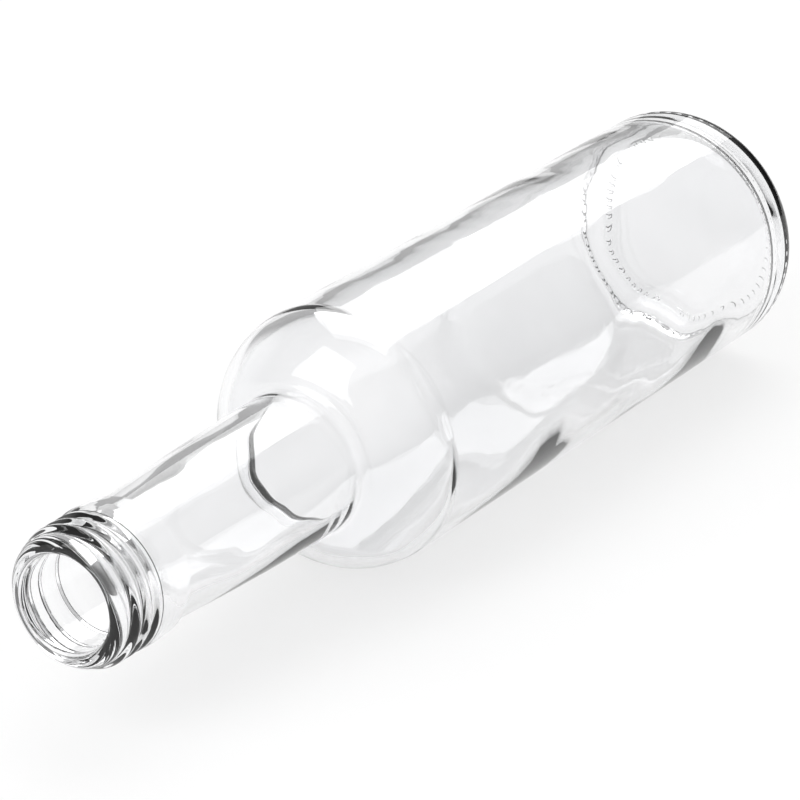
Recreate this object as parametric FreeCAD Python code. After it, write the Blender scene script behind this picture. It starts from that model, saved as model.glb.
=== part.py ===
import FreeCAD, Part
import math
import os

# Straight-neck bottle of clear glass for 350 ml, with a threaded finish for an
# aluminium screw closure. It is empty, open and lies on its side.
# Millimetres. The bottle's axis runs along X: the mouth is at -X, the base at +X.
# +Z is up, and the origin is under the middle of the bottle, on the surface it lies on.
# "Station" is the distance along the axis from the mouth's rim towards the base.

# Overall sizes
OVERALL_LENGTH = 245.0
BODY_DIA = 59.5
BODY_LENGTH = 148.2          # base up to where the shoulder starts to turn in
REST_FLAT_DEPTH = 0.05       # worn flat under the body that it lies on

# Rim and bore
RIM_DIA = 28.6               # also the root of the thread
RIM_OUTER_ROUND = 2.2
RIM_INNER_ROUND = 1.1
BORE_DIA = 21.2
BORE_LENGTH = 17.0           # straight part of the bore

# Thread
THREAD_DIA = 30.8
THREAD_PITCH = 3.3
THREAD_START = 3.6           # station of the first turn's middle
THREAD_START_ANGLE = 120.0   # where it starts, degrees round from underneath
THREAD_BEAD_GAP = 0.7        # last turn's middle to where the bead starts to rise
THREAD_ROOT_WIDTH = 2.8
THREAD_CREST_WIDTH = 0.9
THREAD_FADE_ANGLE = 45.0     # run-in and run-out, degrees
THREAD_SINK = 0.35           # how far the ridge is rooted in the rim's wall

# Bead that the closure's lower band is rolled under
BEAD_DIA = 31.3
BEAD_START = 12.2
BEAD_WIDTH = 3.7             # its upper ramp and its crest
BEAD_UPPER_RAMP = 2.1
BEAD_LOWER_RAMP = 3.1
BEAD_ROUND = 0.8

# Neck
NECK_TOP_DIA = 27.9
NECK_BASE_DIA = 32.9
NECK_SWELL = 0.45            # how far its side bows out from a straight line
NECK_WALL = 3.0
NECK_FILLET = 1.6            # outside, where the neck meets the shoulder
NECK_INNER_FILLET = 4.5

# Shoulder and body
SHOULDER_RADIUS = 16.6
WALL = 2.7

# Base
HEEL_RADIUS = 5.2
HEEL_INNER_RADIUS = 8.0
BEARING_WIDTH = 1.5
PUNT_DEPTH = 3.0
BASE_THICKNESS = 4.2
FLOOR_RISE = 1.6             # how far the inner floor domes up in the middle

BODY_R = BODY_DIA / 2
RIM_R = RIM_DIA / 2
BORE_R = BORE_DIA / 2
THREAD_R = THREAD_DIA / 2
SHOULDER_STATION = OVERALL_LENGTH - BODY_LENGTH
SHOULDER_CENTRE = (SHOULDER_STATION, BODY_R - SHOULDER_RADIUS)
AXIS_HEIGHT = BODY_R - REST_FLAT_DEPTH


def point(station, radius):
    return FreeCAD.Vector(station, radius, 0)


def line(a, b):
    return Part.LineSegment(point(*a), point(*b)).toShape()


def arc_about(centre, radius, a, b):
    """Shorter arc about a centre from a to b."""
    start = math.atan2(a[1] - centre[1], a[0] - centre[0])
    turn = math.atan2(b[1] - centre[1], b[0] - centre[0]) - start
    turn = (turn + math.pi) % (2 * math.pi) - math.pi
    half = start + turn / 2
    middle = (centre[0] + radius * math.cos(half), centre[1] + radius * math.sin(half))
    return Part.Arc(point(*a), point(*middle), point(*b)).toShape()


def bowed_circle(a, b, swell):
    """Circle through a and b that bows outwards from their chord."""
    dx = b[0] - a[0]
    dy = b[1] - a[1]
    chord = math.hypot(dx, dy)
    radius = (chord * chord / 4 + swell * swell) / (2 * swell)
    depth = radius - swell
    centre = ((a[0] + b[0]) / 2 + depth * dy / chord, (a[1] + b[1]) / 2 - depth * dx / chord)
    return centre, radius


def circles_meet(c1, r1, c2, r2):
    """The meeting point of two circles that is nearer the mouth."""
    dx = c2[0] - c1[0]
    dy = c2[1] - c1[1]
    gap = math.hypot(dx, dy)
    along = (gap * gap + r1 * r1 - r2 * r2) / (2 * gap)
    side = math.sqrt(r1 * r1 - along * along)
    foot = (c1[0] + along * dx / gap, c1[1] + along * dy / gap)
    options = [
        (foot[0] - side * dy / gap, foot[1] + side * dx / gap),
        (foot[0] + side * dy / gap, foot[1] - side * dx / gap),
    ]
    return min(options, key=lambda p: p[0])


def towards(centre, radius, target):
    """Point at a radius from a centre, on the way to a target."""
    dx = target[0] - centre[0]
    dy = target[1] - centre[1]
    gap = math.hypot(dx, dy)
    return (centre[0] + radius * dx / gap, centre[1] + radius * dy / gap)


def rounded_run(points, radius):
    """Straight runs through the points, with every inner corner rounded."""
    edges = []
    last = points[0]
    for before, corner, after in zip(points, points[1:], points[2:]):
        to_before = math.atan2(before[1] - corner[1], before[0] - corner[0])
        to_after = math.atan2(after[1] - corner[1], after[0] - corner[0])
        half = abs((to_after - to_before + math.pi) % (2 * math.pi) - math.pi) / 2
        back = radius / math.tan(half)
        enter = towards(corner, back, before)
        leave = towards(corner, back, after)
        reach = radius / math.sin(half)
        middle = ((enter[0] + leave[0]) / 2, (enter[1] + leave[1]) / 2)
        centre = towards(corner, reach, middle)
        edges.append(line(last, enter))
        edges.append(arc_about(centre, radius, enter, leave))
        last = leave
    edges.append(line(last, points[-1]))
    return edges


def neck_and_shoulder(top, neck_base_r, swell, shoulder_r, fillet):
    """Neck side, fillet and shoulder, from the neck's top to the straight body."""
    drop = neck_base_r - SHOULDER_CENTRE[1]
    base = (SHOULDER_CENTRE[0] - math.sqrt(shoulder_r ** 2 - drop ** 2), neck_base_r)
    neck_c, neck_r = bowed_circle(top, base, swell)
    fillet_c = circles_meet(neck_c, neck_r + fillet, SHOULDER_CENTRE, shoulder_r + fillet)
    on_neck = towards(neck_c, neck_r, fillet_c)
    on_shoulder = towards(SHOULDER_CENTRE, shoulder_r, fillet_c)
    body = (SHOULDER_CENTRE[0], SHOULDER_CENTRE[1] + shoulder_r)
    edges = [
        arc_about(neck_c, neck_r, top, on_neck),
        arc_about(fillet_c, fillet, on_neck, on_shoulder),
        arc_about(SHOULDER_CENTRE, shoulder_r, on_shoulder, body),
    ]
    return edges, body


def dome(edge, depth):
    """Shallow arc from a point off the axis to the axis, depth nearer the mouth."""
    radius = (edge[1] ** 2 + depth ** 2) / (2 * depth)
    centre = (edge[0] - depth + radius, 0.0)
    top = (edge[0] - depth, 0.0)
    return arc_about(centre, radius, edge, top), top


def outside():
    """Outer outline, from the rim's face to the middle of the underside."""
    bead_end = BEAD_START + BEAD_WIDTH
    bead_r = BEAD_DIA / 2
    neck_top = (bead_end + BEAD_LOWER_RAMP, NECK_TOP_DIA / 2)
    face = (0.0, RIM_R - RIM_OUTER_ROUND)
    side = (RIM_OUTER_ROUND, RIM_R)
    edges = [arc_about((RIM_OUTER_ROUND, face[1]), RIM_OUTER_ROUND, face, side)]
    edges += rounded_run(
        [
            side,
            (BEAD_START, RIM_R),
            (BEAD_START + BEAD_UPPER_RAMP, bead_r),
            (bead_end, bead_r),
            neck_top,
        ],
        BEAD_ROUND,
    )
    run, body = neck_and_shoulder(
        neck_top, NECK_BASE_DIA / 2, NECK_SWELL, SHOULDER_RADIUS, NECK_FILLET
    )
    edges += run
    heel = (OVERALL_LENGTH - HEEL_RADIUS, BODY_R)
    heel_c = (heel[0], BODY_R - HEEL_RADIUS)
    bearing = (OVERALL_LENGTH, heel_c[1])
    punt_edge = (OVERALL_LENGTH, bearing[1] - BEARING_WIDTH)
    edges.append(line(body, heel))
    edges.append(arc_about(heel_c, HEEL_RADIUS, heel, bearing))
    edges.append(line(bearing, punt_edge))
    punt, middle = dome(punt_edge, PUNT_DEPTH)
    edges.append(punt)
    return edges, face, middle


def inside():
    """Inner outline, from the rim's face to the middle of the inner floor."""
    face = (0.0, BORE_R + RIM_INNER_ROUND)
    bore = (RIM_INNER_ROUND, BORE_R)
    bore_end = (BORE_LENGTH, BORE_R)
    inner_r = BODY_R - WALL
    edges = [
        arc_about((RIM_INNER_ROUND, face[1]), RIM_INNER_ROUND, face, bore),
        line(bore, bore_end),
    ]
    run, body = neck_and_shoulder(
        bore_end, NECK_BASE_DIA / 2 - NECK_WALL, NECK_SWELL, SHOULDER_RADIUS - WALL, NECK_INNER_FILLET
    )
    edges += run
    floor = OVERALL_LENGTH - BASE_THICKNESS
    heel = (floor - HEEL_INNER_RADIUS, inner_r)
    heel_c = (heel[0], inner_r - HEEL_INNER_RADIUS)
    floor_edge = (floor, heel_c[1])
    edges.append(line(body, heel))
    edges.append(arc_about(heel_c, HEEL_INNER_RADIUS, heel, floor_edge))
    rise, middle = dome(floor_edge, FLOOR_RISE)
    edges.append(rise)
    return edges, face, middle


def shell():
    """The glass wall: the outline between outside and inside, turned about the axis."""
    outer, outer_face, outer_middle = outside()
    inner, inner_face, inner_middle = inside()
    closing = [line(outer_middle, inner_middle), line(inner_face, outer_face)]
    wire = Part.Wire(Part.__sortEdges__(outer + inner + closing))
    return Part.Face(wire).revolve(FreeCAD.Vector(0, 0, 0), FreeCAD.Vector(1, 0, 0), 360)


def fade_cutter(station, angle, direction):
    """Block whose slanted face takes the ridge down to its root at one end."""
    fade = math.radians(THREAD_FADE_ANGLE)
    end = (RIM_R * math.cos(angle), RIM_R * math.sin(angle))
    full = angle + direction * fade
    crest = (THREAD_R * math.cos(full), THREAD_R * math.sin(full))
    back = angle - direction * fade
    behind = (2 * THREAD_R * math.cos(back), 2 * THREAD_R * math.sin(back))
    ahead = (2 * THREAD_R * math.cos(full), 2 * THREAD_R * math.sin(full))
    root = (RIM_R - 2 * THREAD_SINK) / RIM_R
    inner = (root * RIM_R * math.cos(back), root * RIM_R * math.sin(back))
    low = station - THREAD_PITCH / 2
    corners = [FreeCAD.Vector(y, z, low) for y, z in (end, crest, ahead, behind, inner, end)]
    return Part.Face(Part.makePolygon(corners)).extrude(FreeCAD.Vector(0, 0, THREAD_PITCH))


def thread():
    """Helical ridge round the rim's wall, made about Z and turned to lie along X."""
    last = BEAD_START - THREAD_BEAD_GAP
    rise = last - THREAD_START
    helix = Part.makeHelix(THREAD_PITCH, rise, RIM_R)
    root_r = RIM_R - THREAD_SINK
    half_root = THREAD_ROOT_WIDTH / 2
    half_crest = THREAD_CREST_WIDTH / 2
    corners = [
        FreeCAD.Vector(root_r, 0, -half_root),
        FreeCAD.Vector(THREAD_R, 0, -half_crest),
        FreeCAD.Vector(THREAD_R, 0, half_crest),
        FreeCAD.Vector(root_r, 0, half_root),
        FreeCAD.Vector(root_r, 0, -half_root),
    ]
    sweep = Part.BRepOffsetAPI.MakePipeShell(Part.Wire(helix.Edges))
    sweep.setFrenetMode(True)
    sweep.add(Part.makePolygon(corners), False, False)
    sweep.build()
    sweep.makeSolid()
    ridge = sweep.shape()
    turned = 2 * math.pi * rise / THREAD_PITCH
    ridge = ridge.cut(fade_cutter(0.0, 0.0, 1))
    ridge = ridge.cut(fade_cutter(rise, turned, -1))
    ridge.translate(FreeCAD.Vector(0, 0, THREAD_START))
    ridge.rotate(FreeCAD.Vector(0, 0, 0), FreeCAD.Vector(0, 1, 0), 90)
    ridge.rotate(FreeCAD.Vector(0, 0, 0), FreeCAD.Vector(1, 0, 0), THREAD_START_ANGLE)
    return ridge


def place(shape):
    """Lays the bottle down with its flat on the ground and its middle over the origin."""
    shape.translate(FreeCAD.Vector(-OVERALL_LENGTH / 2, 0, AXIS_HEIGHT))
    below = Part.makeBox(
        OVERALL_LENGTH, BODY_DIA, BODY_R, FreeCAD.Vector(-OVERALL_LENGTH / 2, -BODY_R, -BODY_R)
    )
    return shape.cut(below)


def bottle():
    glass = shell().fuse(thread())
    solid = place(glass).Solids[0]
    print("bottle valid", solid.isValid(), "glass cm3", round(solid.Volume / 1000, 2))
    return solid


os.makedirs("parts", exist_ok=True)
bottle().exportStep("parts/bottle.step")
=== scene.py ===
import math

import bpy
import numpy as np
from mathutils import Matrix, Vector


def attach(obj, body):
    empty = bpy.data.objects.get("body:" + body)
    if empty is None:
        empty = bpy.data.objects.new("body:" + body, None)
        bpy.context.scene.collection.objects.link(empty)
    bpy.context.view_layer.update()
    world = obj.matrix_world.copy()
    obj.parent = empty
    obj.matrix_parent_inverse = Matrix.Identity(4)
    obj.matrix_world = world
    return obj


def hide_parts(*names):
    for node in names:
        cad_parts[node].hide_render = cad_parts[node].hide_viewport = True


# Clear glass bottle lying on a pale floor. Lengths of the glass are millimetres: stations run
# along the bottle's axis from the rim, and radii out from the axis, as in the CAD model.

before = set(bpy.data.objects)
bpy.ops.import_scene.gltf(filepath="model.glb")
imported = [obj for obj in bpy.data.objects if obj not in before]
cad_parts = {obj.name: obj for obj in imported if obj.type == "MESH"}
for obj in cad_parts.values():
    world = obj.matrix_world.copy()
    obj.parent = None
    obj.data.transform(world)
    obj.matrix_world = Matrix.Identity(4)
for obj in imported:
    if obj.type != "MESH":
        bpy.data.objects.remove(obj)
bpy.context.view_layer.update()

# ---------------------------------------------------------------- sizes shared with the CAD model
OVERALL_LENGTH = 245.0
BODY_R = 59.5 / 2
BODY_LENGTH = 148.2
REST_FLAT_DEPTH = 0.05       # the flat strip that the body lies on
RIM_R = 28.6 / 2
RIM_OUTER_ROUND = 2.2
RIM_INNER_ROUND = 1.1
BORE_R = 21.2 / 2
BORE_LENGTH = 17.0
THREAD_R = 30.8 / 2
THREAD_PITCH = 3.3
THREAD_FADE_ANGLE = math.radians(45.0)
BEAD_R = 31.3 / 2
BEAD_START = 12.2
BEAD_WIDTH = 3.7             # its upper ramp and its crest
BEAD_UPPER_RAMP = 2.1
BEAD_LOWER_RAMP = 3.1
BEAD_ROUND = 0.8
NECK_TOP_R = 27.9 / 2
NECK_BASE_R = 32.9 / 2
NECK_SWELL = 0.45
NECK_WALL = 3.0
NECK_FILLET = 1.6
NECK_INNER_FILLET = 4.5
SHOULDER_RADIUS = 16.6
WALL = 2.7
HEEL_RADIUS = 5.2
HEEL_INNER_RADIUS = 8.0
BEARING_WIDTH = 1.5
PUNT_DEPTH = 3.0
BASE_THICKNESS = 4.2
FLOOR_RISE = 1.6

SHOULDER_STATION = OVERALL_LENGTH - BODY_LENGTH
SHOULDER_CENTRE = (SHOULDER_STATION, BODY_R - SHOULDER_RADIUS)
AXIS_HEIGHT = BODY_R - REST_FLAT_DEPTH

# ---------------------------------------------------------------- sizes of the visual model alone
# The thread runs level on one half of the neck and climbs on the other.
VALLEY_R = 29.3 / 2          # the wall between the turns
THREAD_START = 4.6           # station of the first turn's level half
THREAD_TURNS = 2.6
THREAD_ROOT_WIDTH = 3.3
THREAD_CREST_WIDTH = 0.4
FIRST_FLANK = 1.0            # how much wider the first turn's upper flank is
FLANK_STRAIGHT = 0.6         # share of a flank's shape that is straight, not eased
LEVEL_FROM = math.radians(150.0)
LEAD_IN_ANGLE = math.radians(45.0)

# Share of a turn's rise, where that part begins and how far round it takes, in degrees
CLIMB_PARTS = [(0.3, 200.0, 80.0), (0.7, 295.0, 65.0)]

# The last turn widens into a land that rises to the bead
LAND_FROM_TURN = 1.92
LAND_FADE_ANGLE = math.radians(30.0)
LAND_RISE = 2.5              # along the axis

# Raised crescents round the bearing ring
MARKS = 56
MARK_HEIGHT = 0.25
MARK_LENGTH = 1.5            # across the ring
MARK_WIDTH = 0.8             # along the ring
MARK_BOW = 0.22              # how far the ends are set back from the middle
MARK_SIDE_EASE = 1.6         # half widths from the middle to the foot
MARK_END_EASE = 1.7          # half lengths from the middle to the foot
MARK_BELT_FADE = 1.6         # over which the belt round them dies out
MARK_BELT_FROM = OVERALL_LENGTH - 2.5
MARK_BELT_RUN_IN = 1.5
MARK_BELT_INSIDE = 1.2       # how far the belt reaches into the punt

# Unevenness of the blown inner wall
SWELL_HEIGHTS = (0.10, 0.07)
RIPPLE_HEIGHTS = (0.06, 0.05, 0.04, 0.03)
RIPPLE_LOW_SIDE = 1.9        # radians from the side where the ripple is strongest to the top
RIPPLE_LOW_GAIN = 1.5        # how much stronger it is there
WAVES_RUN_IN = 30.0          # from the end of the bore
WAVES_FLOOR_FADE = 22.0      # radius within which they die out on the inner floor

AROUND = 264                 # columns round the bottle
FINE = 4                     # times as many columns where the marks are
SLOPE_STEP = 1e-3            # over which a slope of the relief is measured

# ---------------------------------------------------------------- look
GLASS_TINT = (0.964, 0.966, 0.972, 1)
GLASS_TINT_DEEP = (0.958, 0.961, 0.968, 1)
GLASS_TINT_PALE = (0.969, 0.970, 0.975, 1)
GLASS_IOR = 1.52
TINT_SCALE = 26.0            # clouds per metre
SKIN_SCALE = 90.0
SKIN_HEIGHT = 0.00006        # metres

FLOOR_GREY = 0.85
FLOOR_WHITE = 0.68           # share of the floor that shows as plain white
FLOOR_SIZE = 6.0             # metres from the middle to an edge
FLOOR_DROP = 0.00005         # metres under the bottle, so that the two don't touch

WORLD_LEVEL = 0.42
# azimuth, elevation, full within, gone beyond (degrees), times as bright
WORLD_PARTS = [
    (346.0, 8.0, 12.0, 30.0, 0.18),
    (230.0, 12.0, 30.0, 120.0, 2.6),
    (90.0, 4.0, 9.0, 32.0, 2.35),
]

# name, azimuth and elevation (degrees), distance, width and height (metres), power (watts)
SOFTBOXES = [
    ("top_softbox", 25.0, 53.0, 1.3, 1.09, 1.50, 9.2),
    ("mouth_softbox", 160.0, 36.0, 1.3, 0.66, 1.2, 6.9),
]
SOFTBOX_AIM = Vector((0.0, 0.0, 0.03))

CAMERA_PLACE = (-0.66270, -0.44145, 0.38566)
CAMERA_LOOK = Vector((0.757898, 0.507880, -0.409448))
CAMERA_LENS = 178.5
CAMERA_SENSOR = 36.0
CAMERA_CLIP = 0.05


# ---------------------------------------------------------------- profile
def towards(centre, radius, target):
    dx = target[0] - centre[0]
    dy = target[1] - centre[1]
    gap = math.hypot(dx, dy)
    return (centre[0] + radius * dx / gap, centre[1] + radius * dy / gap)


def circles_meet(c1, r1, c2, r2):
    dx = c2[0] - c1[0]
    dy = c2[1] - c1[1]
    gap = math.hypot(dx, dy)
    along = (gap * gap + r1 * r1 - r2 * r2) / (2 * gap)
    side = math.sqrt(r1 * r1 - along * along)
    foot = (c1[0] + along * dx / gap, c1[1] + along * dy / gap)
    options = [
        (foot[0] - side * dy / gap, foot[1] + side * dx / gap),
        (foot[0] + side * dy / gap, foot[1] - side * dx / gap),
    ]
    return min(options, key=lambda p: p[0])


def bowed_circle(a, b, swell):
    dx = b[0] - a[0]
    dy = b[1] - a[1]
    chord = math.hypot(dx, dy)
    radius = (chord * chord / 4 + swell * swell) / (2 * swell)
    depth = radius - swell
    centre = ((a[0] + b[0]) / 2 + depth * dy / chord, (a[1] + b[1]) / 2 - depth * dx / chord)
    return centre, radius


class Run:
    """Rows of a profile: each row is station, radius and the direction of travel."""

    def __init__(self):
        self.rows = []

    def add(self, x, r, angle, zone):
        if self.rows and math.hypot(x - self.rows[-1][0], r - self.rows[-1][1]) < 1e-4:
            return
        self.rows.append((x, r, angle, zone))

    def line(self, a, b, count, zone=""):
        angle = math.atan2(b[1] - a[1], b[0] - a[0])
        for i in range(count + 1):
            t = i / count
            self.add(a[0] + (b[0] - a[0]) * t, a[1] + (b[1] - a[1]) * t, angle, zone)

    def arc(self, centre, a, b, count, zone=""):
        start = math.atan2(a[1] - centre[1], a[0] - centre[0])
        turn = math.atan2(b[1] - centre[1], b[0] - centre[0]) - start
        turn = (turn + math.pi) % (2 * math.pi) - math.pi
        radius = math.hypot(a[0] - centre[0], a[1] - centre[1])
        for i in range(count + 1):
            angle = start + turn * i / count
            x = centre[0] + radius * math.cos(angle)
            r = centre[1] + radius * math.sin(angle)
            self.add(x, r, angle + math.copysign(math.pi / 2, turn), zone)

    def corners(self, points, radius, counts, round_count, zone=""):
        last = points[0]
        for k, (before, corner, after) in enumerate(zip(points, points[1:], points[2:])):
            to_before = math.atan2(before[1] - corner[1], before[0] - corner[0])
            to_after = math.atan2(after[1] - corner[1], after[0] - corner[0])
            half = abs((to_after - to_before + math.pi) % (2 * math.pi) - math.pi) / 2
            back = radius / math.tan(half)
            enter = towards(corner, back, before)
            leave = towards(corner, back, after)
            middle = ((enter[0] + leave[0]) / 2, (enter[1] + leave[1]) / 2)
            centre = towards(corner, radius / math.sin(half), middle)
            self.line(last, enter, counts[k], zone)
            self.arc(centre, enter, leave, round_count, zone)
            last = leave
        self.line(last, points[-1], counts[-1], zone)


def neck_points(top, neck_base_r, shoulder_r, fillet):
    drop = neck_base_r - SHOULDER_CENTRE[1]
    base = (SHOULDER_CENTRE[0] - math.sqrt(shoulder_r ** 2 - drop ** 2), neck_base_r)
    neck_c, neck_r = bowed_circle(top, base, NECK_SWELL)
    fillet_c = circles_meet(neck_c, neck_r + fillet, SHOULDER_CENTRE, shoulder_r + fillet)
    on_neck = towards(neck_c, neck_r, fillet_c)
    on_shoulder = towards(SHOULDER_CENTRE, shoulder_r, fillet_c)
    body = (SHOULDER_CENTRE[0], SHOULDER_CENTRE[1] + shoulder_r)
    return neck_c, fillet_c, on_neck, on_shoulder, body


def dome(edge, depth):
    radius = (edge[1] ** 2 + depth ** 2) / (2 * depth)
    return (edge[0] - depth + radius, 0.0), (edge[0] - depth, 0.0)


def inside_rows():
    """Inner wall, from the rim's face to the middle of the inner floor."""
    run = Run()
    face = (0.0, BORE_R + RIM_INNER_ROUND)
    bore = (RIM_INNER_ROUND, BORE_R)
    end = (BORE_LENGTH, BORE_R)
    run.arc((RIM_INNER_ROUND, face[1]), face, bore, 7, "inner")
    run.line(bore, end, 14, "inner")
    neck_c, fillet_c, on_neck, on_shoulder, body = neck_points(
        end, NECK_BASE_R - NECK_WALL, SHOULDER_RADIUS - WALL, NECK_INNER_FILLET
    )
    run.arc(neck_c, end, on_neck, 22, "inner")
    run.arc(fillet_c, on_neck, on_shoulder, 9, "inner")
    run.arc(SHOULDER_CENTRE, on_shoulder, body, 14, "inner")
    floor = OVERALL_LENGTH - BASE_THICKNESS
    heel = (floor - HEEL_INNER_RADIUS, BODY_R - WALL)
    heel_c = (heel[0], heel[1] - HEEL_INNER_RADIUS)
    edge = (floor, heel_c[1])
    run.line(body, heel, 34, "inner")
    run.arc(heel_c, heel, edge, 14, "inner")
    rise_c, middle = dome(edge, FLOOR_RISE)
    run.arc(rise_c, edge, middle, 12, "inner")
    return run.rows


def outside_rows():
    """Outer wall, from the rim's face to the middle of the underside."""
    run = Run()
    face = (0.0, RIM_R - RIM_OUTER_ROUND)
    side = (RIM_OUTER_ROUND, RIM_R)
    bead_top = BEAD_START + BEAD_UPPER_RAMP
    bead_end = BEAD_START + BEAD_WIDTH
    neck_top = (bead_end + BEAD_LOWER_RAMP, NECK_TOP_R)
    run.line((0.0, BORE_R + RIM_INNER_ROUND), face, 2, "rim")
    run.arc((RIM_OUTER_ROUND, face[1]), face, side, 9, "rim")
    run.corners(
        [side, (BEAD_START, RIM_R), (bead_top, BEAD_R), (bead_end, BEAD_R), neck_top],
        BEAD_ROUND, [60, 10, 5, 5], 4, "thread",
    )
    neck_c, fillet_c, on_neck, on_shoulder, body = neck_points(
        neck_top, NECK_BASE_R, SHOULDER_RADIUS, NECK_FILLET
    )
    run.arc(neck_c, neck_top, on_neck, 16, "neck")
    run.arc(fillet_c, on_neck, on_shoulder, 8, "neck")
    run.arc(SHOULDER_CENTRE, on_shoulder, body, 20, "body")
    heel = (OVERALL_LENGTH - HEEL_RADIUS, BODY_R)
    heel_c = (heel[0], BODY_R - HEEL_RADIUS)
    bearing = (OVERALL_LENGTH, heel_c[1])
    punt_edge = (OVERALL_LENGTH, bearing[1] - BEARING_WIDTH)
    run.line(body, heel, 16, "body")
    turn = math.radians(30.0)
    half = (heel_c[0] + HEEL_RADIUS * math.cos(turn), heel_c[1] + HEEL_RADIUS * math.sin(turn))
    run.arc(heel_c, heel, half, 9, "body")
    run.arc(heel_c, half, bearing, 5, "marks")
    run.line(bearing, punt_edge, 6, "marks")
    punt_c, middle = dome(punt_edge, PUNT_DEPTH)
    inner_r = punt_edge[1] - MARK_BELT_INSIDE
    depth = math.sqrt((punt_c[0] - middle[0]) ** 2 - inner_r ** 2)
    inner = (punt_c[0] - depth, inner_r)
    run.arc(punt_c, punt_edge, inner, 3, "marks")
    run.arc(punt_c, inner, middle, 16, "body")
    return run.rows


# ---------------------------------------------------------------- relief on the turned shape
def smooth(t):
    t = np.clip(t, 0.0, 1.0)
    return t * t * (3 - 2 * t)


def flat_flank(t):
    """A nearly straight flank with its foot and its top eased."""
    return FLANK_STRAIGHT * np.clip(t, 0.0, 1.0) + (1 - FLANK_STRAIGHT) * smooth(t)


def climb(angle):
    """Share of a turn's rise: level on one half of the neck, climbing on the other."""
    parts = [share * smooth((np.degrees(angle) - start) / span) for share, start, span in CLIMB_PARTS]
    return sum(parts)


def ridge(x, radius, theta):
    """Height over the wall of the thread, whose last turn runs out into the bead."""
    rise = smooth((x - RIM_OUTER_ROUND) / (THREAD_START - RIM_OUTER_ROUND))
    valley = RIM_R + (VALLEY_R - RIM_R) * rise
    reach = np.full(np.broadcast(x, theta).shape, valley)
    angle = np.mod(math.pi - theta - LEVEL_FROM, 2 * math.pi)
    flank = (THREAD_ROOT_WIDTH - THREAD_CREST_WIDTH) / 2
    for k in range(-1, int(THREAD_TURNS) + 1):
        along = angle + 2 * math.pi * k
        left = 2 * math.pi * THREAD_TURNS - along
        run_in = smooth((along + LEAD_IN_ANGLE) / THREAD_FADE_ANGLE)
        run_out = smooth(left / THREAD_FADE_ANGLE)
        centre = THREAD_START + THREAD_PITCH * (k + climb(angle))
        wide = flank + FIRST_FLANK * smooth(1.0 - along / (2 * math.pi)) * (x < centre)
        shape = flat_flank(1 - (np.abs(x - centre) - THREAD_CREST_WIDTH / 2) / wide)
        land = smooth((along - 2 * math.pi * LAND_FROM_TURN) / LAND_FADE_ANGLE)
        land = np.where(x > centre, land, 0.0)
        top = THREAD_R + (BEAD_R - THREAD_R) * smooth((x - centre) / LAND_RISE) * land
        height = (top - valley) * np.maximum(shape, land) * run_in * run_out
        reach = np.maximum(reach, valley + height)
    return np.maximum(reach - radius, 0.0)


def marks(x, radius, theta):
    """Depth of the gaps between the small crescents on the bearing ring."""
    ring = BODY_R - HEEL_RADIUS - BEARING_WIDTH / 2
    out = radius - ring
    belt = smooth(1 - (np.abs(out) - MARK_LENGTH / 2) / MARK_BELT_FADE)
    belt = belt * smooth((x - MARK_BELT_FROM) / MARK_BELT_RUN_IN)
    step = 2 * math.pi / MARKS
    bow = MARK_BOW * (2 * out / MARK_LENGTH) ** 2
    across = (np.mod(theta + bow / ring, step) - step / 2) * ring
    side = smooth(MARK_SIDE_EASE - np.abs(across) / (MARK_WIDTH / 2))
    end = smooth(MARK_END_EASE - np.abs(out) / (MARK_LENGTH / 2))
    return -MARK_HEIGHT * belt * (1 - side * end)


def waves(x, radius, theta):
    """Slow swell and ripple of the inner wall, dying out at the bore and on the inner floor."""
    above_shoulder = 0.5 * (x < SHOULDER_STATION)
    fade = smooth((x - BORE_LENGTH) / WAVES_RUN_IN)
    fade = fade * smooth(radius / WAVES_FLOOR_FADE + above_shoulder)
    swell = SWELL_HEIGHTS[0] * np.cos(theta + 0.6)
    swell += SWELL_HEIGHTS[1] * np.cos(2 * theta - 0.9 + x / 60.0)
    ripple = RIPPLE_HEIGHTS[0] * np.sin(x / 7.5 + 1.3 * np.sin(2 * theta)) * np.cos(2 * theta + x / 31.0)
    ripple += RIPPLE_HEIGHTS[1] * np.sin(x / 12.0 - 3 * theta + 0.5)
    ripple += RIPPLE_HEIGHTS[2] * np.sin(x / 5.2 + 4 * theta)
    bent = np.sin(9 * theta + x / 23.0 + 2 * np.sin(x / 17.0))
    ripple += RIPPLE_HEIGHTS[3] * bent * np.cos(x / 13.0 - 2 * theta)
    low_side = np.clip(np.cos(theta + RIPPLE_LOW_SIDE), 0.0, 1.0) ** 2
    return fade * (swell + ripple * (1 + RIPPLE_LOW_GAIN * low_side))


def relief(zone, x, r, theta):
    if zone == "thread":
        return ridge(x, r, theta)
    if zone == "marks":
        return marks(x, r, theta)
    if zone == "inner":
        return waves(x, r, theta)
    return np.zeros(np.broadcast(x, theta).shape)


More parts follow.
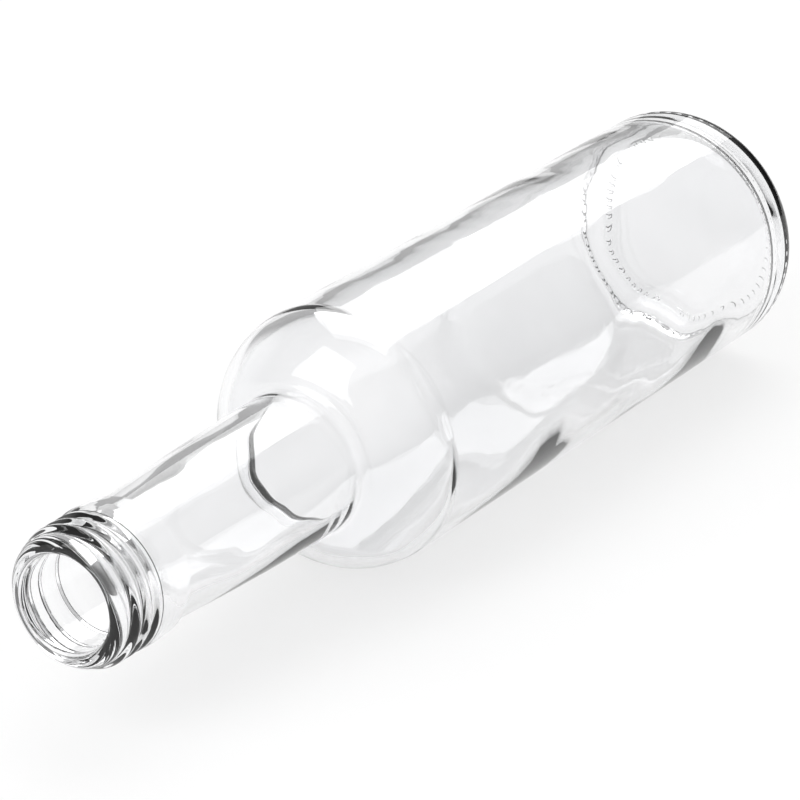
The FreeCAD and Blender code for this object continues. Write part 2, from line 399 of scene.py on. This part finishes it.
# ---------------------------------------------------------------- mesh
def ring(row, inner, columns):
    """Positions in metres in the frame, and normals, of one row."""
    x, r, angle, zone = row
    theta = np.arange(columns) * 2 * math.pi / columns
    side = -1.0 if inner else 1.0
    normal = (-math.sin(angle) * side, math.cos(angle) * side)
    tx = math.cos(angle)
    tr = math.sin(angle)
    height = relief(zone, x, r, theta)
    further = relief(zone, x + tx * SLOPE_STEP, r + tr * SLOPE_STEP, theta)
    nearer = relief(zone, x - tx * SLOPE_STEP, r - tr * SLOPE_STEP, theta)
    along = (further - nearer) / (2 * SLOPE_STEP)
    around = np.zeros(columns)
    if r > 1e-6:
        later = relief(zone, x, r, theta + SLOPE_STEP)
        earlier = relief(zone, x, r, theta - SLOPE_STEP)
        around = (later - earlier) / (2 * SLOPE_STEP * r)
    px = x + normal[0] * height
    pr = r + normal[1] * height
    nx = normal[0] - along * tx
    nr = normal[1] - along * tr
    nt = -around
    c = np.cos(theta)
    s = np.sin(theta)
    place = np.stack([px, pr * s, pr * c], 1)
    facing = np.stack([nx, nr * s + nt * c, nr * c - nt * s], 1)
    facing /= np.linalg.norm(facing, axis=1)[:, None]
    place[:, 0] -= OVERALL_LENGTH / 2
    place[:, 2] = np.maximum(place[:, 2] + AXIS_HEIGHT, 0.0)
    return place / 1000.0, facing


def build_bottle():
    inner = list(reversed(inside_rows()))
    outer = outside_rows()[1:]
    rows = [(row, True) for row in inner] + [(row, False) for row in outer]
    places = []
    facings = []
    spans = []
    for row, is_inner in rows:
        centre = row[1] < 1e-6
        columns = 1 if centre else AROUND * (FINE if row[3] == "marks" else 1)
        place, facing = ring(row, is_inner, columns)
        spans.append((sum(len(p) for p in places), columns))
        places.append(place)
        facings.append(facing)
    faces = []
    for (a0, an), (b0, bn) in zip(spans, spans[1:]):
        if an == 1:
            faces += [(a0, b0 + j, b0 + (j + 1) % bn) for j in range(bn)]
        elif bn == 1:
            faces += [(a0 + (j + 1) % an, a0 + j, b0) for j in range(an)]
        elif an == bn:
            faces += [(a0 + j, b0 + j, b0 + (j + 1) % bn, a0 + (j + 1) % an) for j in range(an)]
        else:
            faces += stitch(a0, an, b0, bn)
    mesh = bpy.data.meshes.new("bottle_glass")
    mesh.from_pydata(np.concatenate(places).tolist(), [], faces)
    mesh.polygons.foreach_set("use_smooth", [True] * len(mesh.polygons))
    mesh.update()
    mesh.normals_split_custom_set_from_vertices(np.concatenate(facings).tolist())
    piece = bpy.data.objects.new("bottle_glass", mesh)
    bpy.context.scene.collection.objects.link(piece)
    return piece


def stitch(a0, an, b0, bn):
    """Joins a ring of columns to one with FINE times as many."""
    faces = []
    coarse_first = an < bn
    c0, cn, f0, fn = (a0, an, b0, bn) if coarse_first else (b0, bn, a0, an)
    ratio = fn // cn
    half = ratio // 2
    for j in range(cn):
        here = c0 + j
        there = c0 + (j + 1) % cn
        fan = [f0 + (ratio * j + k) % fn for k in range(ratio + 1)]
        tris = [(here, fan[k], fan[k + 1]) for k in range(half)]
        tris.append((here, fan[half], there))
        tris += [(there, fan[k], fan[k + 1]) for k in range(half, ratio)]
        faces += tris if coarse_first else [tuple(reversed(t)) for t in tris]
    return faces


# ---------------------------------------------------------------- materials
def noise(tree, scale, detail):
    """Soft clouds fixed to the object."""
    place = tree.nodes.new("ShaderNodeTexCoord")
    cloud = tree.nodes.new("ShaderNodeTexNoise")
    cloud.inputs["Scale"].default_value = scale
    cloud.inputs["Detail"].default_value = detail
    tree.links.new(place.outputs["Object"], cloud.inputs["Vector"])
    return cloud.outputs["Fac"]


def glass_material():
    """Clear glass, with a tint that varies a little and a faintly uneven skin."""
    mat = bpy.data.materials.new("clear_glass")
    mat.use_nodes = True
    tree = mat.node_tree
    shader = tree.nodes["Principled BSDF"]
    shader.inputs["Base Color"].default_value = GLASS_TINT
    shader.inputs["Roughness"].default_value = 0.0
    shader.inputs["IOR"].default_value = GLASS_IOR
    shader.inputs["Transmission Weight"].default_value = 1.0
    tint = tree.nodes.new("ShaderNodeValToRGB")
    deep, pale = tint.color_ramp.elements
    deep.position = 0.35
    deep.color = GLASS_TINT_DEEP
    pale.position = 0.65
    pale.color = GLASS_TINT_PALE
    tree.links.new(noise(tree, TINT_SCALE, 2.0), tint.inputs["Fac"])
    tree.links.new(tint.outputs["Color"], shader.inputs["Base Color"])
    bump = tree.nodes.new("ShaderNodeBump")
    bump.inputs["Strength"].default_value = 1.0
    bump.inputs["Distance"].default_value = SKIN_HEIGHT
    tree.links.new(noise(tree, SKIN_SCALE, 1.0), bump.inputs["Height"])
    tree.links.new(bump.outputs["Normal"], shader.inputs["Normal"])
    return mat


def floor_material():
    """White sweep. It keeps a faint shadow and is seen at its own white by eye and through glass."""
    mat = bpy.data.materials.new("pale_floor")
    mat.use_nodes = True
    tree = mat.node_tree
    shader = tree.nodes["Principled BSDF"]
    shader.inputs["Base Color"].default_value = (FLOOR_GREY, FLOOR_GREY, FLOOR_GREY, 1)
    shader.inputs["Roughness"].default_value = 0.9
    shader.inputs["Specular IOR Level"].default_value = 0.0
    seen = seen_rays(tree)
    part = tree.nodes.new("ShaderNodeMath")
    part.operation = "MULTIPLY"
    part.inputs[1].default_value = FLOOR_WHITE
    tree.links.new(seen, part.inputs[0])
    white = tree.nodes.new("ShaderNodeEmission")
    white.inputs["Color"].default_value = (1, 1, 1, 1)
    white.inputs["Strength"].default_value = 1.0
    both = tree.nodes.new("ShaderNodeMixShader")
    tree.links.new(part.outputs["Value"], both.inputs["Fac"])
    tree.links.new(shader.outputs["BSDF"], both.inputs[1])
    tree.links.new(white.outputs["Emission"], both.inputs[2])
    tree.links.new(both.outputs["Shader"], tree.nodes["Material Output"].inputs["Surface"])
    return mat


def seen_rays(tree):
    """1 for what the eye sees, straight on or by way of glass, and 0 for light on the scene."""
    path = tree.nodes.new("ShaderNodeLightPath")
    total = path.outputs["Is Camera Ray"]
    for name in ("Is Glossy Ray", "Is Transmission Ray"):
        both = tree.nodes.new("ShaderNodeMath")
        both.operation = "MAXIMUM"
        tree.links.new(total, both.inputs[0])
        tree.links.new(path.outputs[name], both.inputs[1])
        total = both.outputs["Value"]
    return total


# ---------------------------------------------------------------- studio
def unit(azimuth, elevation):
    """Direction from an azimuth and an elevation in degrees."""
    a = math.radians(azimuth)
    e = math.radians(elevation)
    return Vector((math.cos(e) * math.cos(a), math.cos(e) * math.sin(a), math.sin(e)))


def add_floor():
    mesh = bpy.data.meshes.new("studio_floor")
    corners = [(-1, -1), (1, -1), (1, 1), (-1, 1)]
    places = [(x * FLOOR_SIZE, y * FLOOR_SIZE, -FLOOR_DROP) for x, y in corners]
    mesh.from_pydata(places, [], [(0, 1, 2, 3)])
    floor = bpy.data.objects.new("studio_floor", mesh)
    bpy.context.scene.collection.objects.link(floor)
    floor.data.materials.append(floor_material())


def add_softbox(name, azimuth, elevation, distance, width, height, power):
    light = bpy.data.lights.new(name, "AREA")
    light.shape = "RECTANGLE"
    light.size = width
    light.size_y = height
    light.energy = power
    away = unit(azimuth, elevation)
    lamp = bpy.data.objects.new(name, light)
    lamp.location = SOFTBOX_AIM + away * distance
    lamp.rotation_euler = away.to_track_quat("Z", "Y").to_euler()
    bpy.context.scene.collection.objects.link(lamp)


def add_world():
    """Studio walls: bright towards the camera's side, pale on the left, with one dark gap."""
    world = bpy.data.worlds.new("studio")
    bpy.context.scene.world = world
    world.use_nodes = True
    tree = world.node_tree
    back = tree.nodes["Background"]
    back.inputs["Color"].default_value = (1, 1, 1, 1)
    place = tree.nodes.new("ShaderNodeTexCoord")
    level = None
    for azimuth, elevation, inner, outer, times in WORLD_PARTS:
        dot = tree.nodes.new("ShaderNodeVectorMath")
        dot.operation = "DOT_PRODUCT"
        dot.inputs[1].default_value = unit(azimuth, elevation)
        tree.links.new(place.outputs["Generated"], dot.inputs[0])
        ramp = tree.nodes.new("ShaderNodeMapRange")
        ramp.interpolation_type = "SMOOTHSTEP"
        ramp.inputs["From Min"].default_value = math.cos(math.radians(outer))
        ramp.inputs["From Max"].default_value = math.cos(math.radians(inner))
        ramp.inputs["To Min"].default_value = 1.0
        ramp.inputs["To Max"].default_value = times
        tree.links.new(dot.outputs["Value"], ramp.inputs["Value"])
        if level is None:
            level = ramp.outputs["Result"]
        else:
            both = tree.nodes.new("ShaderNodeMath")
            both.operation = "MULTIPLY"
            tree.links.new(level, both.inputs[0])
            tree.links.new(ramp.outputs["Result"], both.inputs[1])
            level = both.outputs["Value"]
    scale = tree.nodes.new("ShaderNodeMath")
    scale.operation = "MULTIPLY"
    scale.inputs[1].default_value = WORLD_LEVEL
    tree.links.new(level, scale.inputs[0])
    tree.links.new(scale.outputs["Value"], back.inputs["Strength"])


def add_camera():
    data = bpy.data.cameras.new("camera")
    data.sensor_width = CAMERA_SENSOR
    data.lens = CAMERA_LENS
    data.clip_start = CAMERA_CLIP
    camera = bpy.data.objects.new("camera", data)
    camera.location = CAMERA_PLACE
    camera.rotation_euler = CAMERA_LOOK.to_track_quat("-Z", "Y").to_euler()
    bpy.context.scene.collection.objects.link(camera)
    bpy.context.scene.camera = camera


bottle = build_bottle()
bottle.data.materials.append(glass_material())
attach(bottle, "root")
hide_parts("bottle")

add_floor()
for softbox in SOFTBOXES:
    add_softbox(*softbox)
add_world()
add_camera()
bpy.context.scene.view_settings.view_transform = "Standard"
